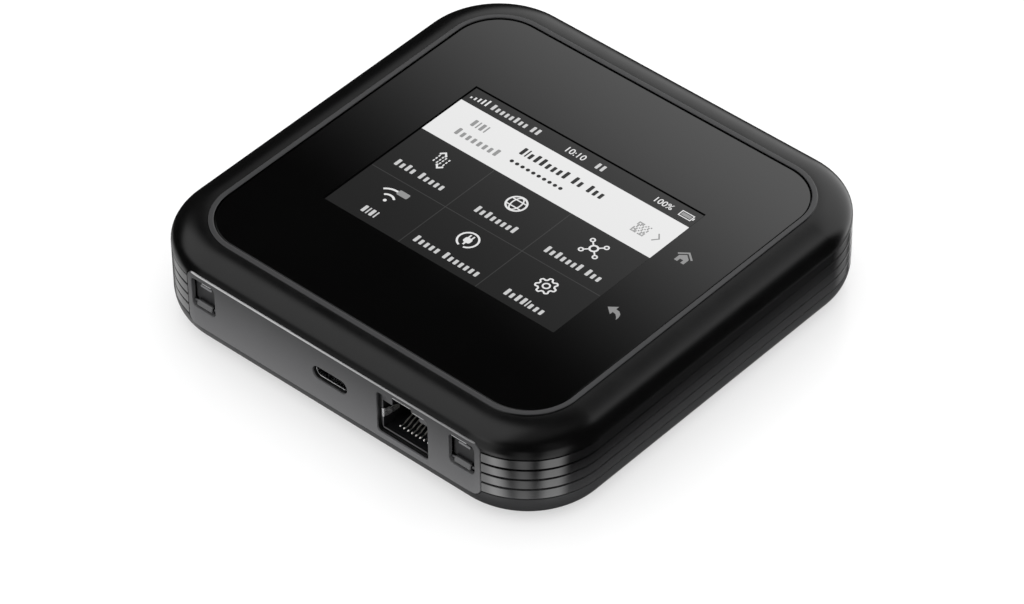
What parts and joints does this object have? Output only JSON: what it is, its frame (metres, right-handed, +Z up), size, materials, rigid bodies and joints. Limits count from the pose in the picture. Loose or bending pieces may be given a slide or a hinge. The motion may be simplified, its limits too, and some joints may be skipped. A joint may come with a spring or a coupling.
{
  "type": "mobile hotspot",
  "caption": "Square pocket router with a touch screen, rounded shoulder, ridged sides, a port panel with hinged antenna covers, and a removable battery under a rear cover.",
  "frame": {"origin": "centre of the plane that the four feet rest on", "axes": "+Z up through the screen, -Y towards the side with the ports, +X to the right when that side is seen from the front"},
  "size_m": [0.105, 0.105, 0.0215],
  "materials": {
    "satin_black": "satin moulded polycarbonate, fine even grain",
    "gloss_black": "polished black plastic ridges",
    "panel_grey": "satin dark grey plastic",
    "cover_black": "satin black plastic with a soft touch",
    "cover_glass": "black-backed cover glass, polished; opaque except over the screen",
    "foam": "black adhesive foam",
    "display": "stacked display layers",
    "white_film": "white reflector frame",
    "flex_film": "amber polyimide film",
    "rubber": "matt black rubber",
    "steel": "plain steel",
    "nickel": "nickel-plated sheet",
    "gold": "gold-plated contact",
    "jack_plastic": "black connector plastic",
    "board": "dark green solder mask",
    "carrier": "black antenna carrier",
    "aluminium": "rolled sheet",
    "thermal_pad": "soft gap filler",
    "battery_wrap": "dark printed wrap with no text",
    "card_white": "white card"
  },
  "bodies": {
    "case": {"top_housing": "satin_black", "ridge_band": "gloss_black", "bottom_shell": "satin_black", "port_panel": "panel_grey", "display_glass": "cover_glass", "glass_gasket": "foam", "lcd_panel": "display", "backlight_frame": "white_film", "display_flex": "flex_film", "antenna_cover_pin_left": "steel", "antenna_cover_pin_right": "steel", "antenna_socket_left": "nickel", "antenna_socket_right": "nickel", "antenna_contact_left": "gold", "antenna_contact_right": "gold", "usb_c_shell": "steel", "usb_c_tongue": "jack_plastic", "ethernet_housing": "jack_plastic", "ethernet_shield": "nickel", "ethernet_contact_1": "gold", "ethernet_contact_2": "gold", "ethernet_contact_3": "gold", "ethernet_contact_4": "gold", "ethernet_contact_5": "gold", "ethernet_contact_6": "gold", "ethernet_contact_7": "gold", "ethernet_contact_8": "gold", "main_board": "board", "board_screw_left": "steel", "board_screw_right": "steel", "modem_shield": "nickel", "wifi_shield": "nickel", "power_shield": "nickel", "thermal_pad": "thermal_pad", "heat_spreader": "aluminium", "antenna_carrier_left": "carrier", "antenna_carrier_right": "carrier", "antenna_carrier_rear": "carrier", "battery_tray": "satin_black", "reset_switch": "nickel", "power_switch": "nickel", "sim_socket": "nickel", "battery_contacts": "jack_plastic", "foot_front_left": "rubber", "foot_front_right": "rubber", "foot_back_left": "rubber", "foot_back_right": "rubber", "case_screw_front_left": "steel", "case_screw_front_right": "steel", "case_screw_back_left": "steel", "case_screw_back_right": "steel"},
    "antenna_cover_left": {"antenna_cover_left": "cover_black"},
    "antenna_cover_right": {"antenna_cover_right": "cover_black"},
    "power_button": {"power_button": "gloss_black"},
    "reset_button": {"reset_button": "panel_grey"},
    "battery_cover": {"battery_cover": "satin_black"},
    "battery": {"battery": "battery_wrap"},
    "sim_card": {"sim_card": "card_white"}
  },
  "joints": [
    {"name": "antenna_cover_left_hinge", "type": "hinge", "parent": "case", "child": "antenna_cover_left", "pos_m": [-0.0336, -0.05155, 0.01075], "axis": [1, 0, 0], "range_deg": [0, 100]},
    {"name": "antenna_cover_right_hinge", "type": "hinge", "parent": "case", "child": "antenna_cover_right", "pos_m": [0.0336, -0.05155, 0.01075], "axis": [1, 0, 0], "range_deg": [0, 100]},
    {"name": "power_button_press", "type": "slide", "parent": "case", "child": "power_button", "axis": [0, -1, 0], "range_m": [0, 0.0005], "stiffness_N_per_m": 10},
    {"name": "reset_button_press", "type": "slide", "parent": "case", "child": "reset_button", "axis": [0, 0, 1], "range_m": [0, 0.0002], "stiffness_N_per_m": 1},
    {"name": "battery_cover_lift", "type": "slide", "parent": "case", "child": "battery_cover", "axis": [0, 0, -1], "range_m": [0, 0.03]},
    {"name": "battery_lift", "type": "slide", "parent": "case", "child": "battery", "axis": [0, 0, -1], "range_m": [0, 0.015]},
    {"name": "sim_card_slide", "type": "slide", "parent": "case", "child": "sim_card", "axis": [-1, 0, 0], "range_m": [0, 0.0125]}
  ],
  "couplings": [
    {"joint": "battery_lift", "follows": "battery_cover_lift", "ratio": 0.5}
  ]
}
